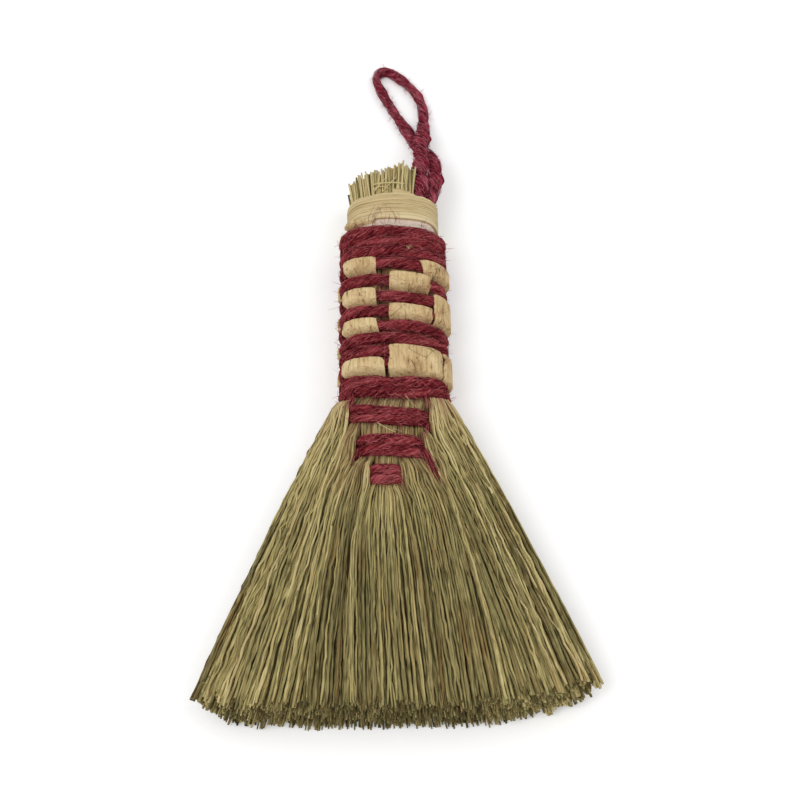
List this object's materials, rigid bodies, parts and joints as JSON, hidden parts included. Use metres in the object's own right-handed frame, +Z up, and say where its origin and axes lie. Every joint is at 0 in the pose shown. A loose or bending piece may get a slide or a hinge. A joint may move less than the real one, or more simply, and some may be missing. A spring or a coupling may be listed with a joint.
{
  "type": "straw hand broom",
  "caption": "Small flat hand whisk of fine grass stems, bound with jute twine and a woven split-stalk grip, with a cord loop for hanging.",
  "frame": {"origin": "on the surface the broom lies on, under the middle of its length and width, hanging loop left out", "axes": "+X across the fan, +Y from the sweeping tips to the hanging loop, +Z up off the surface it lies on"},
  "size_m": [0.1438, 0.3121, 0.027],
  "materials": {
    "stems": "dry grass stems, straw to olive",
    "split_stalk": "pale split stalk with vertical grain",
    "twine": "dyed jute, matt and hairy",
    "tape": "thin white fibre tape",
    "strip_wrap": "pale smooth strip with fine grain",
    "loop_cord": "dyed jute, two ply"
  },
  "bodies": {
    "root": {"hank_center": "stems", "hank_inner_left": "stems", "hank_inner_right": "stems", "hank_middle_left": "stems", "hank_middle_right": "stems", "hank_outer_left": "stems", "hank_outer_right": "stems", "plait_stalk_front_left": "split_stalk", "plait_stalk_front_middle": "split_stalk", "plait_stalk_right_side": "split_stalk", "plait_stalk_back_right": "split_stalk", "plait_stalk_back_inner_right": "split_stalk", "plait_stalk_back_inner_left": "split_stalk", "plait_stalk_left_side": "split_stalk", "binding_twine": "twine", "twine_band_upper": "twine", "twine_band_middle": "twine", "twine_band_lower": "twine", "head_tape": "tape", "head_strip_wrap": "strip_wrap", "hanging_loop": "loop_cord"}
  },
  "joints": []
}
